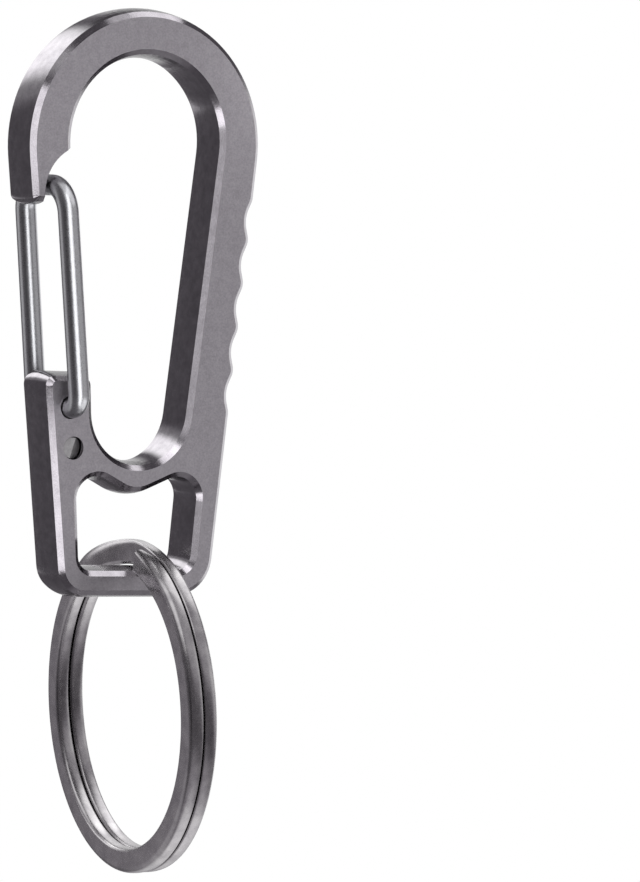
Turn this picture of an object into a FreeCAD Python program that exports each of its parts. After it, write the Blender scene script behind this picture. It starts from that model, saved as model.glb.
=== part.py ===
"""Belt key clip: a milled plate hook with a sprung wire gate and a split key ring.

Millimetres. X runs across the clip (gate at the left, spine at the right), Y through its
thickness (front face at minus Y), Z up. The origin is the seat of the hook: the top of
the loop, at mid thickness, where a belt loop or rail bears.
"""
import FreeCAD
import Part
import math
import os

from FreeCAD import Vector

# Plate and its edge section
plate_thickness = 5.0
chamfer_width = 0.5
chamfer_depth = 0.42
wall_crown = 0.34

# Hook and loop, measured on the line where chamfer and wall meet
hook_radius = 12.72
hook_lag = 0.33
loop_radius = 8.34
floor_radius = 5.32
floor_drop = 25.55
floor_shift = 0.78

# Foot of the plate
bar_height = 2.33
left_corner_radius = 2.85
left_corner_reach = 4.45
right_corner_radius = 3.8
right_corner_reach = 6.06

# Post below the gate, and the nose above it with its notch for the wire
post_height = 3.08
post_lean = 0.2
post_corner_radius = 1.0
notch_radius = 4.6
notch_drop = 5.2
lip_thickness = 1.14
lip_length = 0.95
nose_face_radius = 0.1

# Finger scallops along the spine
scallop_count = 5
scallop_pitch = 4.22
scallop_depth = 0.48
scallop_start_drop = 6.85
scallop_fill_share = 0.9
scallop_valley_share = 0.66

# Ring window, with the rounded tongue in its upper edge
web_thickness = 2.53
window_height = 7.6
lobe_lag = 0.7
left_lobe_radius = 2.14
left_lobe_reach = 3.55
right_lobe_radius = 2.22
right_lobe_reach = 5.55
tongue_radius = 3.67
tongue_reach = 0.72
window_left_corner_radius = 1.45
window_left_corner_reach = 3.72
window_right_corner_radius = 1.73
window_right_corner_reach = 5.75

# Wire gate
wire_diameter = 2.0
hole_clearance = 0.1
hole_inset = 2.34
hole_below_post = 2.98
hole_spacing = 3.85
leg_stand_off = 0.68
rear_bow_stand_off = 0.25
end_bend_radius = 1.4
bow_bend_radius = 2.6
bow_rise = 0.65
bow_lip_gap = 0.32
end_recess = 0.15
nip_angle = 26.0
nip_turn = 16.0

# Split ring: one flat strip wound two turns side by side
ring_outer_radius = 16.1
strip_depth = 2.42
strip_width = 1.43
turn_gap = 0.13
ring_bar_gap = 0.06
ring_shift = 2.79
ring_lean = 3.34
ring_turn = -5.58
tip_angle = 105.0
tip_taper = 2.2
tip_end_share = 0.6
jog_start_angle = 58.0
jog_sweep = 36.0
tail_clear_angle = 4.0
jog_sections = 5

# Cutting tools run past the faces that they cut by this much
overrun = 2.0

# Derived places
half = plate_thickness / 2
wire_radius = wire_diameter / 2
hole_radius = wire_radius + hole_clearance
hook_z = wall_crown - loop_radius
nose_corner_radius = chamfer_width + nose_face_radius
leg_y = half + leg_stand_off + wire_radius
rear_bow_y = half + rear_bow_stand_off + wire_radius
tongue_tip_drop = floor_drop + floor_radius + web_thickness
sill_drop = tongue_tip_drop + window_height
base_drop = sill_drop + bar_height
post_drop = floor_drop - post_height
upper_hole_drop = post_drop + hole_below_post
lower_hole_drop = upper_hole_drop + hole_spacing
FRONT = Vector(0, -1, 0)
BACK = Vector(0, 1, 0)


def at(reach, drop, depth=0.0):
    """Point at a reach to the right of the hook centre and a drop below it."""
    return Vector(reach, depth, hook_z - drop)


def left_of(heading):
    """Unit direction a quarter turn to the left of a heading, in the plane of the plate."""
    return Vector(-math.sin(heading), 0, math.cos(heading))


def along(heading):
    return Vector(math.cos(heading), 0, math.sin(heading))


# Outlines
# An outline is a ring of circles, each (centre, radius, turn), passed with the material on
# the left: turn is +1 round an outside corner and -1 round an inside one. A straight
# stretch touches each circle and the next.

def tangent_heading(circle, following):
    """Heading of the straight stretch from one circle to the next."""
    centre, radius, turn = circle
    next_centre, next_radius, next_turn = following
    step = next_centre - centre
    offset = (next_turn * next_radius - turn * radius) / step.Length
    return math.atan2(step.z, step.x) - math.asin(offset)


def outline(circles):
    """Stretches of an outline: ("arc", centre, radius, turn, start, sweep) and ("line", from, to)."""
    count = len(circles)
    headings = [tangent_heading(circles[i], circles[(i + 1) % count]) for i in range(count)]
    stretches = []
    for i, (centre, radius, turn) in enumerate(circles):
        heading_in = headings[i - 1]
        heading_out = headings[i]
        sweep = (turn * (heading_out - heading_in)) % (2 * math.pi)
        start = heading_in - turn * math.pi / 2
        stretches.append(("arc", centre, radius, turn, start, sweep))
        next_centre, next_radius, next_turn = circles[(i + 1) % count]
        side = left_of(heading_out)
        leave = centre - side * (turn * radius)
        arrive = next_centre - side * (next_turn * next_radius)
        stretches.append(("line", leave, arrive))
    return stretches


def edge_section(place):
    """Edges across the rim, front to back: chamfer, crowned wall, chamfer. place(out, y) gives points."""
    crease = half - chamfer_depth
    front_face = place(-chamfer_width, -half)
    front_crease = place(0, -crease)
    rear_crease = place(0, crease)
    rear_face = place(-chamfer_width, half)
    crown = Part.Arc(front_crease, place(wall_crown, 0), rear_crease)
    return [
        Part.LineSegment(front_face, front_crease).toShape(),
        crown.toShape(),
        Part.LineSegment(rear_crease, rear_face).toShape(),
    ]


def rim(circles):
    """Wall faces round an outline, and the wires that bound the front and rear faces."""
    walls = []
    face_edges = {-half: [], half: []}
    for stretch in outline(circles):
        if stretch[0] == "line":
            leave, arrive = stretch[1:]
            run = arrive - leave
            out = Vector(run.z, 0, -run.x).normalize()
            section = edge_section(lambda s, y: leave + out * s + BACK * y)
            walls += [edge.extrude(run) for edge in section]
            for y, edges in face_edges.items():
                inset = BACK * y - out * chamfer_width
                edges.append(Part.LineSegment(leave + inset, arrive + inset).toShape())
        else:
            centre, radius, turn, start, sweep = stretch[1:]
            axis = FRONT * turn
            section = edge_section(
                lambda s, y: centre + along(start) * (radius + turn * s) + BACK * y)
            walls += [edge.revolve(centre, axis, math.degrees(sweep)) for edge in section]
            face_radius = radius - turn * chamfer_width
            for y, edges in face_edges.items():
                points = [centre + along(start + turn * sweep * part) * face_radius + BACK * y
                          for part in (0, 0.5, 1)]
                edges.append(Part.Arc(*points).toShape())
    return walls, {y: Part.Wire(edges) for y, edges in face_edges.items()}


# Clip body

def hook_circle():
    """Outside of the hook: its centre lies a little below the loop's."""
    return (at(0, hook_lag), hook_radius, 1)


def scallop_circles():
    """Valleys and the ridges between them along the spine's straight edge, from the foot upwards."""
    corner = (at(right_corner_reach, base_drop - right_corner_radius), right_corner_radius, 1)
    heading = tangent_heading(corner, hook_circle())
    out = left_of(heading) * -1
    spine_foot = corner[0] + out * right_corner_radius
    both = scallop_fill_share * ((scallop_pitch / 2) ** 2 + scallop_depth ** 2) / (2 * scallop_depth)
    valley_radius = scallop_valley_share * both
    ridge_radius = both - valley_radius
    top_run = (hook_z - scallop_start_drop - spine_foot.z) / along(heading).z
    circles = []
    for i in reversed(range(scallop_count)):
        spot = spine_foot + along(heading) * (top_run - i * scallop_pitch)
        lower_ridge = spot - along(heading) * (scallop_pitch / 2)
        circles.append((lower_ridge - out * ridge_radius, ridge_radius, 1))
        circles.append((spot + out * (valley_radius - scallop_depth), valley_radius, -1))
    upper_ridge = spot + along(heading) * (scallop_pitch / 2)
    circles.append((upper_ridge - out * ridge_radius, ridge_radius, 1))
    return circles


def left_edge_reach(drop, inset):
    """Reach of the plate's slanting left edge at a drop, moved inwards by an inset."""
    hook = hook_circle()
    corner = (at(-left_corner_reach, base_drop - left_corner_radius), left_corner_radius, 1)
    heading = tangent_heading(hook, corner)
    touch = hook[0] - left_of(heading) * (hook_radius - inset)
    return touch.x + (hook_z - drop - touch.z) / math.tan(heading)


def body_outline():
    """Foot, scalloped spine, hook, nose, loop and post, in one ring."""
    post_level = post_drop + post_corner_radius
    post_left = left_edge_reach(post_level, post_corner_radius)
    post_right = floor_shift - floor_radius - post_lean - post_corner_radius
    nose_level = notch_drop + lip_length - nose_corner_radius
    nose_left = left_edge_reach(nose_level, nose_corner_radius)
    return [
        (at(-left_corner_reach, base_drop - left_corner_radius), left_corner_radius, 1),
        (at(right_corner_reach, base_drop - right_corner_radius), right_corner_radius, 1),
        *scallop_circles(),
        hook_circle(),
        (at(nose_left, nose_level), nose_corner_radius, 1),
        (at(-loop_radius, nose_level), nose_corner_radius, 1),
        (at(0, 0), loop_radius, -1),
        (at(floor_shift, floor_drop), floor_radius, -1),
        (at(post_right, post_level), post_corner_radius, 1),
        (at(post_left, post_level), post_corner_radius, 1),
    ]


def window_outline():
    """Ring window: two lobes with the tongue between them, and a straight sill."""
    left_sill = sill_drop - window_left_corner_radius
    right_sill = sill_drop - window_right_corner_radius
    lobe_drop = tongue_tip_drop + lobe_lag
    return [
        (at(-window_left_corner_reach, left_sill), window_left_corner_radius, -1),
        (at(-left_lobe_reach, lobe_drop), left_lobe_radius, -1),
        (at(tongue_reach, tongue_tip_drop - tongue_radius), tongue_radius, 1),
        (at(right_lobe_reach, lobe_drop), right_lobe_radius, -1),
        (at(window_right_corner_reach, right_sill), window_right_corner_radius, -1),
    ]


def notch_reach():
    """Reach of the notch's axis: it leaves the lip at the left edge its thickness."""
    return left_edge_reach(notch_drop, 0) + lip_thickness + notch_radius


def hole_reach(drop):
    """Reach of a wire hole: both lie at one inset from the left edge."""
    return left_edge_reach(drop, 0) + hole_inset


def through_bore(reach, drop, radius):
    """Cutter for a straight bore through the plate."""
    length = plate_thickness + 2 * overrun
    return Part.makeCylinder(radius, length, at(reach, drop, -half - overrun), BACK)


def clip_body():
    outer_walls, outer_wires = rim(body_outline())
    window_walls, window_wires = rim(window_outline())
    faces = outer_walls + window_walls
    for y in (-half, half):
        faces.append(Part.makeFace([outer_wires[y], window_wires[y]], "Part::FaceMakerBullseye"))
    shell = Part.makeShell(faces)
    shell.sewShape()
    blank = Part.makeSolid(shell)
    if blank.Volume < 0:
        blank.reverse()
    return blank.cut([
        through_bore(notch_reach(), notch_drop, notch_radius),
        through_bore(hole_reach(upper_hole_drop), upper_hole_drop, hole_radius),
        through_bore(hole_reach(lower_hole_drop), lower_hole_drop, hole_radius),
    ])


# Wire gate

def bent_path(corners, radii):
    """Straight runs through corner points, with a tangent arc of a given radius at each inner corner."""
    edges = []
    start = corners[0]
    for before, corner, after, radius in zip(corners, corners[1:], corners[2:], radii):
        back = (before - corner).normalize()
        ahead = (after - corner).normalize()
        half_turn = back.getAngle(ahead) / 2
        inset = radius / math.tan(half_turn)
        bisector = (back + ahead).normalize()
        middle = corner + bisector * (radius / math.sin(half_turn) - radius)
        edges.append(Part.LineSegment(start, corner + back * inset).toShape())
        edges.append(Part.Arc(corner + back * inset, middle, corner + ahead * inset).toShape())
        start = corner + ahead * inset
    edges.append(Part.LineSegment(start, corners[-1]).toShape())
    return Part.Wire(edges)


def nip_cutters(tip, outward):
    """Two blocks that leave the end of a wire as a ridge, the way a nipper cuts it."""
    height = wire_radius * math.tan(math.radians(nip_angle))
    blocks = []
    for side in (-1, 1):
        corner = Vector(-wire_diameter, min(side, 0) * wire_diameter, 0)
        block = Part.makeBox(2 * wire_diameter, wire_diameter, height, corner)
        block.rotate(Vector(0, 0, 0), Vector(1, 0, 0), -side * nip_angle)
        block.rotate(Vector(0, 0, 0), Vector(0, 0, 1), 90 - nip_turn)
        stance = FreeCAD.Placement(tip, FreeCAD.Rotation(Vector(0, 0, 1), outward))
        block.Placement = stance * block.Placement
        blocks.append(block)
    return blocks


def wire_gate():
    bow = notch_reach() - notch_radius + bow_lip_gap + wire_radius
    bow_drop = notch_drop - bow_rise
    upper = hole_reach(upper_hole_drop)
    lower = hole_reach(lower_hole_drop)
    end_y = half - end_recess
    corners = [
        at(lower, lower_hole_drop, -end_y),
        at(lower, lower_hole_drop, leg_y),
        at(bow, bow_drop, rear_bow_y),
        at(bow, bow_drop, -leg_y),
        at(upper, upper_hole_drop, -leg_y),
        at(upper, upper_hole_drop, end_y),
    ]
    radii = [end_bend_radius, bow_bend_radius, bow_bend_radius, end_bend_radius]
    path = bent_path(corners, radii)
    section = Part.Wire(Part.makeCircle(wire_radius, corners[0], BACK))
    wire = path.makePipeShell([section], True, False)
    drawn = math.pi * wire_radius ** 2 * path.Length
    print("wire gate length %.2f, volume over section times length %.5f" % (path.Length, wire.Volume / drawn))
    return wire.cut(nip_cutters(corners[0], FRONT) + nip_cutters(corners[-1], BACK))


# Split ring

def strip_section(angle, offset):
    """Flat section of the strip, at an angle round the ring's axis (X) and an offset along it."""
    radial = Vector(0, math.cos(angle), math.sin(angle))
    axial = Vector(1, 0, 0)
    inner = ring_outer_radius - strip_depth
    low = offset - strip_width / 2
    high = offset + strip_width / 2
    corners = [(inner, low), (ring_outer_radius, low), (ring_outer_radius, high), (inner, high)]
    points = [radial * r + axial * x for r, x in corners]
    return Part.makePolygon(points + points[:1])


def flat_turn(offset, start, end):
    """Stretch of the strip that stays in one layer, between two angles in degrees."""
    face = Part.Face(strip_section(math.radians(start), offset))
    return face.revolve(Vector(0, 0, 0), Vector(1, 0, 0), end - start)


def jog(layer, start, sweep):
    """Stretch where the strip crosses from the left layer to the right one."""
    sections = []
    for i in range(jog_sections):
        part = i / (jog_sections - 1)
        ease = part * part * (3 - 2 * part)
        sections.append(strip_section(math.radians(start + sweep * part), layer * (2 * ease - 1)))
    return Part.makeLoft(sections, True, False)


def taper_cutter(angle, inner_side, ahead):
    """Wedge that thins an end of the strip along its side next to the other turn."""
    base = math.radians(angle)
    radial = Vector(0, math.cos(base), math.sin(base))
    forward = Vector(0, -math.sin(base), math.cos(base)) * ahead
    away = Vector(1, 0, 0) * inner_side
    deep = ring_outer_radius - strip_depth - overrun
    seam = away * (-turn_gap / 2)
    slope = (1 - tip_end_share) * strip_width / tip_taper
    lead = forward * -overrun + seam + away * (-slope * (tip_taper + overrun))
    points = [radial * deep + spot for spot in (
        forward * tip_taper + seam,
        lead,
        forward * -overrun + away * turn_gap,
        forward * tip_taper + away * turn_gap,
    )]
    face = Part.Face(Part.makePolygon(points + points[:1]))
    return face.extrude(radial * (strip_depth + 2 * overrun))


def split_ring():
    layer = (strip_width + turn_gap) / 2
    jog_end = jog_start_angle + jog_sweep
    tail_angle = jog_start_angle - tail_clear_angle
    left_turn = flat_turn(-layer, tip_angle, 360 + jog_start_angle)
    right_turn = flat_turn(layer, jog_end, 360 + tail_angle)
    left_turn = left_turn.cut(taper_cutter(tip_angle, 1, 1))
    right_turn = right_turn.cut(taper_cutter(tail_angle, -1, -1))
    crossing = jog(layer, jog_start_angle, jog_sweep)
    ring = left_turn.fuse([crossing, right_turn]).removeSplitter()
    print("split ring least gap between its turns %.3f" % left_turn.distToShape(right_turn)[0])
    ring.rotate(Vector(0, 0, 0), Vector(0, 1, 0), -ring_lean)
    ring.rotate(Vector(0, 0, 0), Vector(0, 0, 1), ring_turn)
    inner = (ring_outer_radius - strip_depth) * math.cos(math.radians(ring_lean))
    ring.translate(at(ring_shift, sill_drop - wall_crown - ring_bar_gap + inner))
    return ring


def export(node, shape):
    solids = shape.Solids
    print(node, "solids", len(solids), "valid", shape.isValid(), "volume %.2f" % shape.Volume)
    whole = solids[0] if len(solids) == 1 else Part.makeCompound(solids)
    whole.exportStep("parts/%s.step" % node)


os.makedirs("parts", exist_ok=True)
export("clip_body", clip_body())
export("wire_gate", wire_gate())
export("split_ring", split_ring())
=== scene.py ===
"""Looks of the belt key clip: satin titanium plate, polished wire gate, satin split ring.

Metres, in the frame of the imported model: X across from gate to spine, Y front to rear, Z up,
origin at the seat of the hook. Named sizes are in millimetres where nothing else is said.
"""
import math

import bmesh
import bpy
from mathutils import Matrix, Vector


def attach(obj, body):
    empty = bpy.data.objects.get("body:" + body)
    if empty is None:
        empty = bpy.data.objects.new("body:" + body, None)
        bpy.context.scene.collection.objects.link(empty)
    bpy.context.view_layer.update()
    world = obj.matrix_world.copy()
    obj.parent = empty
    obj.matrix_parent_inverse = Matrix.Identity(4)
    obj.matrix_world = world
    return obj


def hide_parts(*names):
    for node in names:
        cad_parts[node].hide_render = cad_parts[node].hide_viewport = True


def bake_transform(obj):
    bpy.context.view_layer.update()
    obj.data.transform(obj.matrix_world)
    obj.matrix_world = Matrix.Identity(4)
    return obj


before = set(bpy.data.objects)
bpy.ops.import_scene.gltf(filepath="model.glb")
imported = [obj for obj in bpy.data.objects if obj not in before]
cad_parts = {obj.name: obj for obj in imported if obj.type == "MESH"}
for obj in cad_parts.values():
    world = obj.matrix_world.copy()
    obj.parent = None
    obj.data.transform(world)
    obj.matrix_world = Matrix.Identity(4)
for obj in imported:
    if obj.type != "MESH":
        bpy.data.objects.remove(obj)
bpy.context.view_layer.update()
MM = 0.001

# Wire gate: the holes and the bow are (x, z)
UPPER_HOLE = (-7.05, -33.45)
LOWER_HOLE = (-6.522, -37.3)
BOW = (-9.711, -12.55)
REAR_BOW_Y = 3.75
LEG_Y = 4.18
END_Y = 2.35
WIRE_RADIUS = 1.0
END_BEND = 1.4
BOW_BEND = 2.6
NIP_ANGLE = math.radians(26.0)
NIP_TURN = math.radians(16.0)
WIRE_SIDES = 32
RUN_STEP = 0.5
BEND_STEPS = 16

# Split ring: angles in degrees, from the rear upwards
RING_CENTRE = Vector((2.79, 0.0, -62.257))
RING_OUTER = 16.1
RING_LEAN = math.radians(3.34)
RING_TURN = math.radians(-5.58)
STRIP_DEPTH = 2.42
STRIP_WIDTH = 1.43
TURN_GAP = 0.13
TIP_ANGLE = 105.0
JOG_START = 58.0 + 360.0
JOG_SWEEP = 36.0
TAIL_ANGLE = 54.0 + 720.0
SECTION_STEP = 2.0
TIP_TAPER = 2.2
TIP_SHARE = 0.6
# Section of its strip: radii of the free edges and of those at the seam, and the crown
RIM_EDGE = 0.58
RIM_SEAM = 0.16
BORE_EDGE = 0.42
BORE_SEAM = 0.34
EDGE_LIMIT = 0.45
EDGE_POINTS = 7
CROWN_TILT = math.radians(10.0)
CROWN_SHARE = 0.6
CROWN_POINTS = 4
# Fuller rim edges at the jog
DOME_SWEEP = 48.0
DOME_GAIN = 1.5

# Plate: edges that turn by more than this are creases
CREASE = math.radians(22.0)
# The lean of a surface is its normal's share along the plate's thickness: 0 on walls, 1 on faces.
# Each pair is where a change with the lean begins and ends, and then come the shares of the
# crown and of the grain that are left on the walls
LEVEL_LEAN = (0.36, 0.5)
GRAIN_LEAN = (0.5, 0.97)
BLAST_LEAN = (0.9, 0.97)
WALL_CROWN = 0.1
WALL_GRAIN = 0.1

# Metals: noise values of the dark and the light tone, and of the smooth and the rough grain
TONE_SPAN = (0.34, 0.66)
GRAIN_SPAN = (0.3, 0.7)
GLOSS_SPREAD = 0.12
GRAIN_HEIGHT = 0.02

# Camera of the photograph, in the row frame
VIEW_YAW = math.radians(31.5)
VIEW_RISE = math.radians(3.0)
VIEW_ROLL = math.radians(2.946)
VIEW_DISTANCE = 450.0
VIEW_TARGET = Vector((1.506, 0.0, -36.668))
TARGET_PIXEL = (132.5, 441.0)
IMAGE = (640, 882)
FOCAL_PIXELS = 4679.0
SENSOR = 36.0
CLIP_START = 10.0


# Helpers for nodes, meshes and objects

def add(tree, kind, **values):
    node = tree.nodes.new(kind)
    for key, value in values.items():
        if key in node.bl_rna.properties:
            setattr(node, key, value)
        else:
            node.inputs[key].default_value = value
    return node


def link(tree, source, socket, target, name):
    tree.links.new(source.outputs[socket], target.inputs[name])


def ramp(tree, stops):
    node = tree.nodes.new("ShaderNodeValToRGB")
    elements = node.color_ramp.elements
    while len(elements) < len(stops):
        elements.new(0.5)
    for element, (place, value) in zip(elements, stops):
        element.position = place
        element.color = (*value, 1) if isinstance(value, tuple) else (value, value, value, 1)
    return node


def remap(tree, source, target, **values):
    """Node that turns one span of values into another."""
    limits = zip(("From Min", "From Max", "To Min", "To Max"), (*source, *target))
    return add(tree, "ShaderNodeMapRange", **dict(limits), **values)


def new_material(name):
    material = bpy.data.materials.new(name)
    material.use_nodes = True
    tree = material.node_tree
    tree.nodes.clear()
    return material, tree, add(tree, "ShaderNodeOutputMaterial")


def new_object(name, data):
    obj = bpy.data.objects.new(name, data)
    bpy.context.collection.objects.link(obj)
    return obj


def dress(obj, material):
    obj.data.materials.clear()
    obj.data.materials.append(material)


def is_side(polygon):
    """Swept sides are quads; the faces at the ends have more corners."""
    return len(polygon.vertices) == 4


def new_piece(name, mesh_maker, material, node):
    mesh = bpy.data.meshes.new(name)
    grown = bmesh.new()
    mesh_maker(grown)
    bmesh.ops.recalc_face_normals(grown, faces=grown.faces)
    grown.to_mesh(mesh)
    grown.free()
    for polygon in mesh.polygons:
        polygon.use_smooth = is_side(polygon)
    obj = new_object(name, mesh)
    dress(obj, material)
    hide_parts(node)
    return obj


# Materials

def levelled_normal(tree):
    """Surface normal without most of the plate's slight crown, and the surface's lean.

    With the crown levelled, gloss runs straight across the walls.
    """
    surface = add(tree, "ShaderNodeNewGeometry")
    local = add(tree, "ShaderNodeVectorTransform", vector_type="NORMAL",
                convert_from="WORLD", convert_to="OBJECT")
    parts = add(tree, "ShaderNodeSeparateXYZ")
    lean = add(tree, "ShaderNodeMath", operation="ABSOLUTE")
    keep = remap(tree, LEVEL_LEAN, (WALL_CROWN, 1.0))
    level = add(tree, "ShaderNodeMath", operation="MULTIPLY")
    joined = add(tree, "ShaderNodeCombineXYZ")
    world = add(tree, "ShaderNodeVectorTransform", vector_type="NORMAL",
                convert_from="OBJECT", convert_to="WORLD")
    link(tree, surface, "Normal", local, "Vector")
    link(tree, local, "Vector", parts, "Vector")
    link(tree, parts, "Y", lean, 0)
    link(tree, lean, 0, keep, "Value")
    link(tree, parts, "Y", level, 0)
    link(tree, keep, "Result", level, 1)
    link(tree, parts, "X", joined, "X")
    link(tree, level, 0, joined, "Y")
    link(tree, parts, "Z", joined, "Z")
    link(tree, joined, "Vector", world, "Vector")
    return world, lean


def metal(name, tint, dark_tint, rough, blotch_size, grain_size, grain_depth, grain_share,
          face_rough=None):
    """Satin metal: slow blotches in tone, and a fine grain in tone, gloss and surface.

    With face_rough it is the plate's: levelled walls, and rougher faces with more grain.
    """
    material, tree, out = new_material(name)
    shader = add(tree, "ShaderNodeBsdfPrincipled", Metallic=1.0)
    link(tree, shader, "BSDF", out, "Surface")
    place = add(tree, "ShaderNodeTexCoord")
    blotch = add(tree, "ShaderNodeTexNoise", Scale=1 / (blotch_size * MM),
                 Detail=3.0, Roughness=0.6)
    grain = add(tree, "ShaderNodeTexNoise", Scale=1 / (grain_size * MM),
                Detail=2.0, Roughness=0.55)
    link(tree, place, "Object", blotch, "Vector")
    link(tree, place, "Object", grain, "Vector")
    speck = add(tree, "ShaderNodeMix", data_type="FLOAT")
    speck.inputs["Factor"].default_value = grain_share
    link(tree, blotch, "Fac", speck, "A")
    link(tree, grain, "Fac", speck, "B")
    tone = ramp(tree, list(zip(TONE_SPAN, (dark_tint, tint))))
    link(tree, speck, "Result", tone, "Fac")
    link(tree, tone, "Color", shader, "Base Color")
    gloss = remap(tree, GRAIN_SPAN, (rough * (1 - GLOSS_SPREAD), rough * (1 + GLOSS_SPREAD)))
    link(tree, grain, "Fac", gloss, "Value")
    link(tree, gloss, "Result", shader, "Roughness")
    bump = add(tree, "ShaderNodeBump", Strength=grain_depth, Distance=GRAIN_HEIGHT * MM)
    link(tree, grain, "Fac", bump, "Height")
    link(tree, bump, "Normal", shader, "Normal")
    if face_rough:
        normal, lean = levelled_normal(tree)
        link(tree, normal, "Vector", bump, "Normal")
        share = remap(tree, GRAIN_LEAN, (WALL_GRAIN, grain_share))
        link(tree, lean, 0, share, "Value")
        link(tree, share, "Result", speck, "Factor")
        blast = remap(tree, BLAST_LEAN, (0.0, face_rough - rough))
        link(tree, lean, 0, blast, "Value")
        blasted = add(tree, "ShaderNodeMath", operation="ADD")
        link(tree, gloss, "Result", blasted, 0)
        link(tree, blast, "Result", blasted, 1)
        link(tree, blasted, 0, shader, "Roughness")
    return material


titanium = metal("satin_titanium", (0.363, 0.345, 0.369), (0.274, 0.259, 0.279),
                 rough=0.15, blotch_size=0.9, grain_size=0.16, grain_depth=0.12,
                 grain_share=0.65, face_rough=0.42)
wire_steel = metal("polished_wire", (0.447, 0.45, 0.466), (0.387, 0.39, 0.405),
                   rough=0.3, blotch_size=0.6, grain_size=0.12, grain_depth=0.05,
                   grain_share=0.5)
# Copy of the wire's metal for the cut ends, about half as bright: the darker tint is painted shade
# of the holes the ends sit in; the rougher gloss is the cut's own
shaded_end_steel = metal("sheared_end_painted_shade", (0.22, 0.215, 0.22), (0.15, 0.146, 0.15),
                 rough=0.5, blotch_size=0.4, grain_size=0.1, grain_depth=0.2,
                 grain_share=0.5)
ring_steel = metal("satin_ring", (0.45, 0.4395, 0.4435), (0.285, 0.2738, 0.2858),
                   rough=0.26, blotch_size=1.6, grain_size=0.16, grain_depth=0.12,
                   grain_share=0.3)


# Plate

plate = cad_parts["clip_body"]
dress(plate, titanium)
for polygon in plate.data.polygons:
    polygon.use_smooth = True
plate.data.set_sharp_from_angle(angle=CREASE)


# Wire gate: one tube along straight runs and bends, each end nipped to a ridge

def wire_line():
    """Centre line as (point, direction) pairs, from the lower hole over the bow to the upper."""
    def spot(place, y):
        return Vector((place[0], y, place[1]))
    corners = [spot(LOWER_HOLE, -END_Y), spot(LOWER_HOLE, LEG_Y), spot(BOW, REAR_BOW_Y),
               spot(BOW, -LEG_Y), spot(UPPER_HOLE, -LEG_Y), spot(UPPER_HOLE, END_Y)]
    bends = [END_BEND, BOW_BEND, BOW_BEND, END_BEND]
    stations = []

    def run(start, end):
        steps = max(2, round((end - start).length / RUN_STEP))
        heading = (end - start).normalized()
        for i in range(steps):
            stations.append((start.lerp(end, i / steps), heading))

    start = corners[0]
    for before, corner, after, radius in zip(corners, corners[1:], corners[2:], bends):
        into = (corner - before).normalized()
        out = (after - corner).normalized()
        run(start, corner - into * radius)
        centre = corner + (out - into) * radius
        for i in range(BEND_STEPS):
            turn = math.pi / 2 * i / BEND_STEPS
            point = centre - out * radius * math.cos(turn) + into * radius * math.sin(turn)
            heading = (into * math.cos(turn) + out * math.sin(turn)).normalized()
            stations.append((point, heading))
        start = corner + out * radius
    run(start, corners[-1])
    stations.append((corners[-1], (corners[-1] - start).normalized()))
    return stations


def join_rings(mesh, rings):
    sides = len(rings[0])
    for low, high in zip(rings, rings[1:]):
        for k in range(sides):
            mesh.faces.new((low[k], low[(k + 1) % sides], high[(k + 1) % sides], high[k]))


def wire_mesh(mesh):
    stations = wire_line()
    side = Vector((1, 0, 0))
    rings = []
    last = len(stations) - 1
    ridge = {0: Vector((math.sin(NIP_TURN), 0, math.cos(NIP_TURN))),
             last: Vector((-math.sin(NIP_TURN), 0, math.cos(NIP_TURN)))}
    for i, (point, heading) in enumerate(stations):
        side = (side - heading * side.dot(heading)).normalized()
        other = heading.cross(side)
        ring = []
        for k in range(WIRE_SIDES):
            angle = 2 * math.pi * k / WIRE_SIDES
            reach = (side * math.cos(angle) + other * math.sin(angle)) * WIRE_RADIUS
            spot = point + reach
            if i in ridge:
                off_ridge = (reach - ridge[i] * reach.dot(ridge[i])).length
                fall = off_ridge * math.tan(NIP_ANGLE)
                spot = spot + heading * (fall if i == 0 else -fall)
            ring.append(mesh.verts.new(spot * MM))
        rings.append(ring)
    join_rings(mesh, rings)
    on_ridge = WIRE_RADIUS * 1e-4
    for i, ring in ((0, rings[0]), (last, rings[-1])):
        point, heading = stations[i]
        across = heading.cross(ridge[i])
        ends = [mesh.verts.new((point + ridge[i] * WIRE_RADIUS * way) * MM) for way in (-1, 1)]
        for way in (-1, 1):
            flank = [v for v in ring
                     if (Vector(v.co) / MM - point).dot(across) * way > on_ridge]
            flank.sort(key=lambda v: (Vector(v.co) / MM - point).dot(ridge[i]))
            mesh.faces.new([ends[0], *[mesh.verts.new(v.co) for v in flank], ends[1]])


gate = new_piece("gate_wire", wire_mesh, wire_steel, "wire_gate")
# The cut end faces get the darker copy, with painted shade
gate.data.materials.append(shaded_end_steel)
for polygon in gate.data.polygons:
    polygon.material_index = 0 if is_side(polygon) else 1
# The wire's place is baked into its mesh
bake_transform(gate)


# Split ring: a flat strip with rounded edges wound two turns side by side

def crowned_face(width, low_edge, high_edge, stretch):
    """Outline of one face of the strip: rounded edge, slight crown, rounded edge.

    Points are (height from the top of the crown, place across from the middle).
    """
    low_edge, high_edge = min(low_edge, width * EDGE_LIMIT), min(high_edge, width * EDGE_LIMIT)
    low, high = low_edge - width / 2, width / 2 - high_edge
    lift = math.sin(CROWN_TILT)
    span = (high + high_edge * lift) - (low - low_edge * lift)
    middle = ((high + high_edge * lift) + (low - low_edge * lift)) / 2
    arch = span / 2 / lift
    base = -span / 2 * math.tan(CROWN_TILT / 2)
    crown = CROWN_TILT * CROWN_SHARE
    arcs = [(low, low_edge, stretch, -math.pi / 2, -CROWN_TILT, EDGE_POINTS),
            (middle, arch, 1, -crown, crown, CROWN_POINTS),
            (high, high_edge, stretch, CROWN_TILT, math.pi / 2, EDGE_POINTS)]
    outline = []
    for centre, radius, deeper, start, end, count in arcs:
        for i in range(count):
            angle = start + (end - start) * i / (count - 1)
            rise = radius * (math.cos(angle) - math.cos(CROWN_TILT)) * deeper
            outline.append((base + rise, centre + radius * math.sin(angle)))
    return outline


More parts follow.
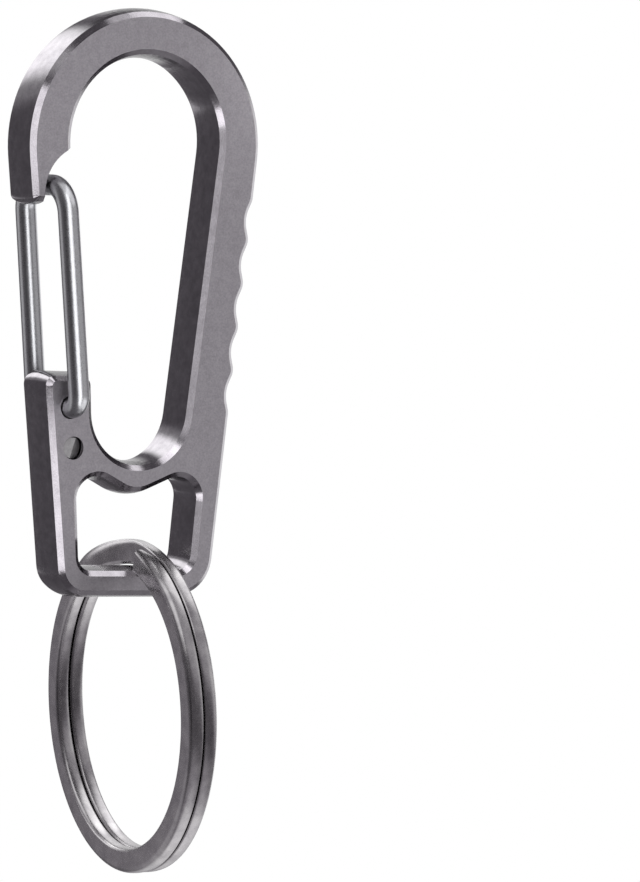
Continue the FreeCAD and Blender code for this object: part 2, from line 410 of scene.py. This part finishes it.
def strip_section(width, part, stretch):
    """Closed outline (radial from the inner face, axial from the section's middle).

    The seam is on its high side in the first turn and on its low side in the second.
    """
    def edges(free, seam):
        return free + (seam - free) * part, seam + (free - seam) * part
    rim = crowned_face(width, *edges(RIM_EDGE, RIM_SEAM), stretch)
    bore = crowned_face(width, *edges(BORE_EDGE, BORE_SEAM), 1)
    return ([(STRIP_DEPTH + height, across) for height, across in rim]
            + [(-height, across) for height, across in reversed(bore)])


def ring_mesh(mesh):
    layer = (STRIP_WIDTH + TURN_GAP) / 2
    place = (Matrix.Translation(RING_CENTRE) @ Matrix.Rotation(RING_TURN, 4, "Z")
             @ Matrix.Rotation(-RING_LEAN, 4, "Y"))
    count = round((TAIL_ANGLE - TIP_ANGLE) / SECTION_STEP)
    rings = []
    for i in range(count + 1):
        angle = TIP_ANGLE + (TAIL_ANGLE - TIP_ANGLE) * i / count
        part = min(max((angle - JOG_START) / JOG_SWEEP, 0), 1)
        offset = layer * (2 * part * part * (3 - 2 * part) - 1)
        from_tip = math.radians(angle - TIP_ANGLE) * RING_OUTER
        from_tail = math.radians(TAIL_ANGLE - angle) * RING_OUTER
        share = min(1, TIP_SHARE + (1 - TIP_SHARE) * min(from_tip, from_tail) / TIP_TAPER)
        width = STRIP_WIDTH * share
        lean = (STRIP_WIDTH - width) / 2 * (-1 if from_tip < from_tail else 1)
        bulge = max(0, 1 - ((angle - JOG_START - JOG_SWEEP / 2) / DOME_SWEEP) ** 2) ** 2
        turn = math.radians(angle)
        ring = []
        for depth, across in strip_section(width, part, 1 + DOME_GAIN * bulge):
            radius = RING_OUTER - STRIP_DEPTH + depth
            point = Vector((offset + lean + across,
                            radius * math.cos(turn), radius * math.sin(turn)))
            ring.append(mesh.verts.new(place @ point * MM))
        rings.append(ring)
    join_rings(mesh, rings)
    for ring in (rings[0], rings[-1]):
        mesh.faces.new([mesh.verts.new(v.co) for v in ring])


ring = new_piece("ring_strip", ring_mesh, ring_steel, "split_ring")
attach(ring, "ring")


# Camera: turned, not shifted, so that the target falls on its pixel

def place_camera():
    out = Vector((-math.sin(VIEW_YAW) * math.cos(VIEW_RISE),
                  -math.cos(VIEW_YAW) * math.cos(VIEW_RISE), math.sin(VIEW_RISE)))
    right = Vector((math.cos(VIEW_YAW), -math.sin(VIEW_YAW), 0))
    up = out.cross(right)
    rolled_right = right * math.cos(VIEW_ROLL) + up * math.sin(VIEW_ROLL)
    rolled_up = up * math.cos(VIEW_ROLL) - right * math.sin(VIEW_ROLL)
    pan = math.atan((IMAGE[0] / 2 - TARGET_PIXEL[0]) / FOCAL_PIXELS)
    back = out * math.cos(pan) - rolled_right * math.sin(pan)
    side = rolled_right * math.cos(pan) + out * math.sin(pan)
    data = bpy.data.cameras.new("photo_camera")
    data.sensor_width = SENSOR
    data.lens = FOCAL_PIXELS * SENSOR / IMAGE[1]
    data.clip_start = CLIP_START * MM
    camera = new_object("photo_camera", data)
    matrix = Matrix((side, rolled_up, back)).transposed().to_4x4()
    matrix.translation = (VIEW_TARGET + out * VIEW_DISTANCE) * MM
    camera.matrix_world = matrix
    bpy.context.scene.camera = camera


place_camera()


# Studio: a white room and pale floor, round the clip a soft light tent with openings and inside
# it a sheer one for the ring, and soft boxes that each light one piece.
# Directions are azimuth from the front towards the spine and elevation, in degrees.
# A strength of 1 is white.

TENT_CENTRE = (0.0, 0.0, -0.036)  # metres, as are the radii and the floor's measures
TENT_RADIUS = 1.1
RING_TENT_RADIUS = 1.0
TENT_SEGMENTS = (96, 48)
TENT_WALL = 0.16
RING_TENT_WALL = 0.0
WALL_TINT = (0.98, 0.92, 1.0)
TINT_SPAN = (0.2, 0.6)  # strengths of tinted and of white cloth
TENT_OPENINGS = [
    # azimuth, elevation, half width of the full part and of the faded part, added strength
    (-34, 46, 4, 13, 0.7),
    (-176, 31, 4, 18, 2.2),
    (-160, 25, 3, 14, 0.3),
    (-68, -4, 8, 24, -0.1),
    (112, -5, 10, 26, 1.2),
    (148, 2, 12, 26, 0.6),
    (70, -55, 15, 45, 0.25),
]
RING_OPENINGS = [
    # the same columns, more light for the ring alone
    (112, 56, 8, 34, 1.9),
    (-80, 62, 12, 38, 1.4),
    (28, 42, 12, 36, 0.45),
    (62, 10, 10, 34, 0.7),
    (140, 36, 8, 28, 0.8),
    (125, -56, 15, 42, 0.85),
    (0, -60, 20, 42, 0.3),
    (60, -70, 10, 30, 0.3),
    (165, 42, 10, 28, 0.6),
    (-157, 18, 4, 13, 0.6),
    (-147, 14, 5, 13, 1.5),
    (-130, -45, 15, 40, 0.45),
    (-135, 27, 12, 30, 0.4),
    (-157, -5, 10, 25, 0.18),
]
PLATE_BOXES = [
    # name, point it looks at, azimuth, elevation, distance, width, height, strength
    # faces and walls: two for the front, then for the sides that the photograph hides
    ("front_lamp", (0, 0, -62), 44, -4, 260, 310, 290, 0.6),
    ("face_lamp", (0, 0, -40), -13, 4, 300, 195, 250, 2.7),
    ("rear_lamp", (0, 0, -30), 180, -2, 500, 380, 400, 0.75),
    ("left_lamp", (0, 0, -30), -92, 0, 400, 250, 300, 0.5),
    # chamfers
    ("edge_lamp", (-15.7, -1.3, 8), -48, 0, 80, 22, 76, 2.2),
    ("post_lamp", (-15.7, -1.3, -69.5), -48, 0, 80, 22, 33, 2.3),
    ("arm_lamp", (-3.6, -14.6, -20), -48, 0, 80, 14, 132, 0.85),
    ("low_edge_lamp", (8, -2, -5), -44, -22.5, 240, 30, 63, 2.7),
    ("top_lamp", (0, -2, 4), 79, 57, 45, 16, 23, 2.15),
    ("top_left_lamp", (-3.8, -2.3, 3.5), 42, 69, 45, 13, 9, 1.1),
    ("bar_lamp", (-2, -2.2, -49.2), 68, 55, 60, 13, 14, 2.1),
    ("corner_lamp", (4, -2, -36), -20, 52, 80, 35, 35, 2.6),
]
GATE_BOXES = [
    # the same columns
    ("wire_lamp", (-9, -4, -22), -13, 0, 300, 195, 900, 2.7),
    ("wire_front", (-9, -4, -22), 48, -2, 500, 560, 600, 0.46),
    ("wire_over", (-9, -4, -12), 0, 84, 300, 300, 300, 0.9),
    ("wire_top", (-9, -4, -12), 48, 48, 300, 280, 280, 1.2),
    ("wire_low", (-9, -4, -34), 50, -45, 300, 320, 320, 1.2),
    ("wire_fill", (-9, -4, -22), -135, 0, 300, 200, 500, 0.6),
]
FLOOR_REACH = 6.0
FLOOR_LEVEL = -1.2
FLOOR_GREY = (0.85, 0.85, 0.85, 1)
WHITE = (1, 1, 1, 1)


def direction(azimuth, elevation):
    around, rise = math.radians(azimuth), math.radians(elevation)
    return Vector((math.sin(around) * math.cos(rise), -math.cos(around) * math.cos(rise),
                   math.sin(rise)))


def white_world():
    world = bpy.data.worlds.new("white_room")
    bpy.context.scene.world = world
    world.use_nodes = True
    tree = world.node_tree
    tree.nodes.clear()
    out = add(tree, "ShaderNodeOutputWorld")
    white = add(tree, "ShaderNodeBackground", Color=WHITE, Strength=1.0)
    link(tree, white, "Background", out, "Surface")


def light_only(lamp, lit):
    pieces = bpy.data.collections.new(lamp.name + "_pieces")
    for piece in lit:
        pieces.objects.link(piece)
    lamp.light_linking.receiver_collection = pieces


def tent(name, radius, wall, openings, lit=None):
    """Glowing sphere round the clip. One for some pieces only is sheer, to show what is behind."""
    mesh = bpy.data.meshes.new(name)
    grown = bmesh.new()
    around, upward = TENT_SEGMENTS
    bmesh.ops.create_uvsphere(grown, u_segments=around, v_segments=upward, radius=radius)
    grown.to_mesh(mesh)
    grown.free()
    obj = new_object(name, mesh)
    obj.location = TENT_CENTRE
    material, tree, out = new_material(name + "_cloth")
    where = add(tree, "ShaderNodeTexCoord")
    outward = add(tree, "ShaderNodeVectorMath", operation="NORMALIZE")
    link(tree, where, "Object", outward, 0)
    total = None
    for azimuth, elevation, full, faded, strength in openings:
        facing = add(tree, "ShaderNodeVectorMath", operation="DOT_PRODUCT")
        link(tree, outward, "Vector", facing, 0)
        facing.inputs[1].default_value = direction(azimuth, elevation)
        limits = math.cos(math.radians(faded)), math.cos(math.radians(full))
        opening = remap(tree, limits, (0.0, strength), interpolation_type="SMOOTHSTEP")
        link(tree, facing, "Value", opening, "Value")
        summed = add(tree, "ShaderNodeMath", operation="ADD")
        summed.inputs[1].default_value = wall
        link(tree, opening, "Result", summed, 0)
        if total:
            link(tree, total, 0, summed, 1)
        total = summed
    glow = add(tree, "ShaderNodeEmission")
    tone = ramp(tree, list(zip(TINT_SPAN, (WALL_TINT, 1.0))))
    link(tree, total, 0, tone, "Fac")
    link(tree, tone, "Color", glow, "Color")
    link(tree, total, 0, glow, "Strength")
    link(tree, glow, "Emission", out, "Surface")
    if lit:
        sheer = add(tree, "ShaderNodeAddShader")
        link(tree, glow, "Emission", sheer, 0)
        link(tree, add(tree, "ShaderNodeBsdfTransparent"), "BSDF", sheer, 1)
        link(tree, sheer, "Shader", out, "Surface")
        light_only(obj, lit)
    # Large and soft, so it is not sampled as a lamp
    material.cycles.emission_sampling = "NONE"
    dress(obj, material)
    obj.visible_camera = False
    obj.visible_shadow = False


def soft_lamp(name, aim, azimuth, elevation, reach, width, height, strength, lit):
    """Soft box that looks at a point and lights some pieces only."""
    data = bpy.data.lights.new(name, "AREA")
    data.shape = "RECTANGLE"
    data.size = width * MM
    data.size_y = height * MM
    data.energy = strength * math.pi * data.size * data.size_y
    lamp = new_object(name, data)
    heading = direction(azimuth, elevation)
    lamp.location = (Vector(aim) + heading * reach) * MM
    lamp.rotation_euler = heading.to_track_quat("Z", "Y").to_euler()
    lamp.visible_camera = False
    light_only(lamp, lit)


def floor():
    """Pale matt floor that the camera, mirrors and glass see as plain white."""
    mesh = bpy.data.meshes.new("floor")
    corners = [(-1, -1), (1, -1), (1, 1), (-1, 1)]
    mesh.from_pydata([(x * FLOOR_REACH, y * FLOOR_REACH, FLOOR_LEVEL) for x, y in corners],
                     [], [(0, 1, 2, 3)])
    obj = new_object("floor", mesh)
    material, tree, out = new_material("pale_floor")
    matt = add(tree, "ShaderNodeBsdfDiffuse", Color=FLOOR_GREY)
    glow = add(tree, "ShaderNodeEmission", Color=WHITE, Strength=1.0)
    path = add(tree, "ShaderNodeLightPath")
    seen = add(tree, "ShaderNodeMath", operation="MAXIMUM")
    seen_through = add(tree, "ShaderNodeMath", operation="MAXIMUM")
    choice = add(tree, "ShaderNodeMixShader")
    link(tree, path, "Is Camera Ray", seen, 0)
    link(tree, path, "Is Glossy Ray", seen, 1)
    link(tree, seen, 0, seen_through, 0)
    link(tree, path, "Is Transmission Ray", seen_through, 1)
    link(tree, seen_through, 0, choice, 0)
    link(tree, matt, "BSDF", choice, 1)
    link(tree, glow, "Emission", choice, 2)
    link(tree, choice, "Shader", out, "Surface")
    dress(obj, material)


white_world()
tent("light_tent", TENT_RADIUS, TENT_WALL, TENT_OPENINGS)
tent("ring_tent", RING_TENT_RADIUS, RING_TENT_WALL, RING_OPENINGS, [ring])
for box in PLATE_BOXES:
    soft_lamp(*box, [plate])
for box in GATE_BOXES:
    soft_lamp(*box, [gate])
floor()

bpy.context.scene.view_settings.view_transform = "Standard"
